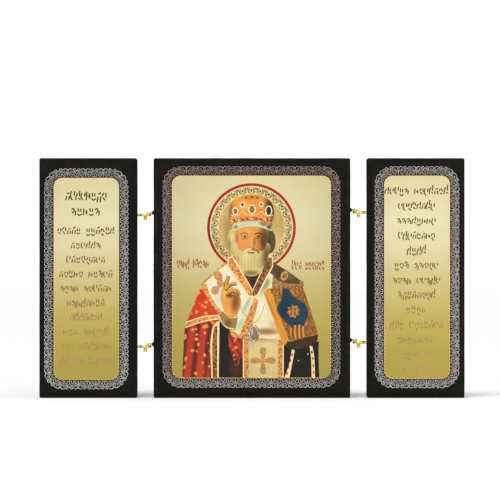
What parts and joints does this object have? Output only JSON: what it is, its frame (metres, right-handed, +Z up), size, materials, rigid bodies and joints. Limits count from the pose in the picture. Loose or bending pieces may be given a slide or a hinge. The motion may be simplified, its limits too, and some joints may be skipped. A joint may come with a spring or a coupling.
{
  "type": "folding triptych icon",
  "caption": "Small folding triptych of black covered boards with foil-printed cards, wings joined to the centre by brass hooks and eyes.",
  "frame": {"origin": "middle of the centre board's underside, on the surface that the triptych stands on", "axes": "+Z up, the printed faces look towards -Y, +X to the viewer's right"},
  "size_m": [0.1728, 0.011, 0.0974],
  "materials": {
    "covering": "black paper-grained covering over fibreboard",
    "printed_card": "black card with stamped silver and gold foil and printed colours",
    "brass_wire": "polished brass plating"
  },
  "bodies": {
    "centre": {"centre_board": "covering", "centre_card": "printed_card", "left_lower_hook": "brass_wire", "left_upper_hook": "brass_wire", "right_lower_hook": "brass_wire", "right_upper_hook": "brass_wire"},
    "left_wing": {"left_wing_board": "covering", "left_wing_card": "printed_card", "left_lower_eye": "brass_wire", "left_upper_eye": "brass_wire"},
    "right_wing": {"right_wing_board": "covering", "right_wing_card": "printed_card", "right_lower_eye": "brass_wire", "right_upper_eye": "brass_wire"}
  },
  "joints": [
    {"name": "left_wing_fold", "type": "hinge", "parent": "centre", "child": "left_wing", "pos_m": [-0.0433, -0.0045, 0.0474], "axis": [0, 0, 1], "range_deg": [-40, 180]},
    {"name": "right_wing_fold", "type": "hinge", "parent": "centre", "child": "right_wing", "pos_m": [0.0433, -0.0045, 0.0488], "axis": [0, 0, -1], "range_deg": [-40, 180]}
  ]
}
